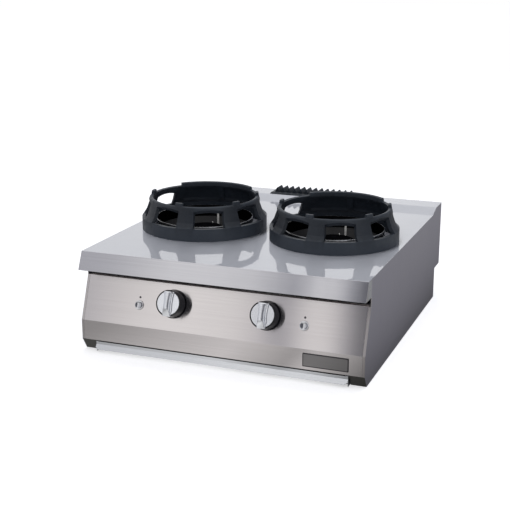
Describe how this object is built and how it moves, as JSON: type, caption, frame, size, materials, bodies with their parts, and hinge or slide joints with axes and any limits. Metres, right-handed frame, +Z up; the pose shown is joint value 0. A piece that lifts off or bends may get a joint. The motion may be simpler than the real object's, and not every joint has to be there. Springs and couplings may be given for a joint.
{
  "type": "two-burner wok range",
  "caption": "Countertop gas range with cast wok rings over round burners, a leaning control panel with knobs and igniter buttons, a flue grille and a pull-out drip tray.",
  "frame": {"origin": "middle of the outer box, on the surface the range stands on", "axes": "+X to the right seen from the front, +Y to the back, +Z up"},
  "size_m": [0.8, 0.9102, 0.38],
  "materials": {
    "worktop_steel": "polished stainless sheet",
    "panel_steel": "brushed stainless sheet",
    "side_steel": "brushed stainless sheet, upright grain",
    "probe_steel": "bright stainless tube",
    "well_black": "black enamel",
    "tray_steel": "stainless sheet",
    "frame_steel": "plain galvanised sheet",
    "cast_black": "black enamelled cast iron",
    "cast_burner": "raw cast iron",
    "brass": "machined brass",
    "pipe_steel": "drawn steel pipe",
    "copper": "drawn copper pipe",
    "knob_black": "glossy black moulding",
    "knob_silver": "satin silver cap",
    "chrome": "chromed",
    "badge_metal": "dark brushed plate",
    "white_ceramic": "glazed ceramic",
    "black_plastic": "moulded plastic",
    "lead_red": "silicone lead cover",
    "screw_steel": "zinc plated"
  },
  "bodies": {
    "case": {"worktop": "worktop_steel", "cheek_rivets": "screw_steel", "side_panel_left": "side_steel", "side_panel_right": "side_steel", "control_panel": "panel_steel", "badge_plate": "badge_metal", "rear_panel": "frame_steel", "front_rail": "frame_steel", "rear_rail": "frame_steel", "crossbar_front": "frame_steel", "crossbar_rear": "frame_steel", "tray_runners": "frame_steel", "flue_duct": "frame_steel", "gas_manifold": "pipe_steel", "gas_inlet": "brass", "manifold_clamps": "frame_steel", "burner_bolts": "screw_steel", "tap_screws": "screw_steel", "knob_bezels": "knob_black", "button_bezels": "chrome", "igniter_nuts": "screw_steel", "injector_brackets": "frame_steel", "burner_well_left": "well_black", "burner_body_left": "cast_burner", "pilot_burner_left": "pipe_steel", "thermocouple_left": "probe_steel", "spark_electrode_left": "white_ceramic", "ignition_lead_left": "lead_red", "pilot_pipe_left": "copper", "feed_pipe_left": "copper", "injector_left": "brass", "tap_body_left": "brass", "piezo_igniter_left": "black_plastic", "burner_well_right": "well_black", "burner_body_right": "cast_burner", "pilot_burner_right": "pipe_steel", "thermocouple_right": "probe_steel", "spark_electrode_right": "white_ceramic", "ignition_lead_right": "lead_red", "pilot_pipe_right": "copper", "feed_pipe_right": "copper", "injector_right": "brass", "tap_body_right": "brass", "piezo_igniter_right": "black_plastic"},
    "valve_left": {"tap_plug_left": "brass"},
    "knob_set_left": {"spindle_left": "screw_steel", "knob_left": "knob_black", "knob_face_left": "knob_silver"},
    "button_left": {"igniter_button_left": "chrome"},
    "ring_left": {"wok_ring_left": "cast_black"},
    "cap_left": {"burner_cap_left": "cast_burner"},
    "valve_right": {"tap_plug_right": "brass"},
    "knob_set_right": {"spindle_right": "screw_steel", "knob_right": "knob_black", "knob_face_right": "knob_silver"},
    "button_right": {"igniter_button_right": "chrome"},
    "ring_right": {"wok_ring_right": "cast_black"},
    "cap_right": {"burner_cap_right": "cast_burner"},
    "tray": {"drip_tray": "tray_steel"},
    "grille": {"flue_grille": "cast_black"}
  },
  "joints": [
    {"name": "tap_turn_left", "type": "hinge", "parent": "case", "child": "valve_left", "pos_m": [-0.132, -0.35499, 0.138], "axis": [0, -0.9352, 0.3542], "range_deg": [0, 180]},
    {"name": "knob_push_left", "type": "slide", "parent": "valve_left", "child": "knob_set_left", "axis": [0, 0.9352, -0.3542], "range_m": [0, 0.0035], "stiffness_N_per_m": 900, "springref_m": -0.004},
    {"name": "igniter_push_left", "type": "slide", "parent": "case", "child": "button_left", "axis": [0, 0.9352, -0.3542], "range_m": [0, 0.006], "stiffness_N_per_m": 600, "springref_m": -0.003},
    {"name": "ring_lift_left", "type": "slide", "parent": "case", "child": "ring_left", "axis": [0, 0, 1], "range_m": [0, 0.15]},
    {"name": "cap_lift_left", "type": "slide", "parent": "case", "child": "cap_left", "axis": [0, 0, 1], "range_m": [0, 0.12]},
    {"name": "tap_turn_right", "type": "hinge", "parent": "case", "child": "valve_right", "pos_m": [0.132, -0.35499, 0.138], "axis": [0, -0.9352, 0.3542], "range_deg": [0, 180]},
    {"name": "knob_push_right", "type": "slide", "parent": "valve_right", "child": "knob_set_right", "axis": [0, 0.9352, -0.3542], "range_m": [0, 0.0035], "stiffness_N_per_m": 900, "springref_m": -0.004},
    {"name": "igniter_push_right", "type": "slide", "parent": "case", "child": "button_right", "axis": [0, 0.9352, -0.3542], "range_m": [0, 0.006], "stiffness_N_per_m": 600, "springref_m": -0.003},
    {"name": "ring_lift_right", "type": "slide", "parent": "case", "child": "ring_right", "axis": [0, 0, 1], "range_m": [0, 0.15]},
    {"name": "cap_lift_right", "type": "slide", "parent": "case", "child": "cap_right", "axis": [0, 0, 1], "range_m": [0, 0.12]},
    {"name": "tray_slide", "type": "slide", "parent": "case", "child": "tray", "axis": [0, -1, 0], "range_m": [0, 0.5]},
    {"name": "grille_lift", "type": "slide", "parent": "case", "child": "grille", "axis": [0, 0, 1], "range_m": [0, 0.08]}
  ]
}
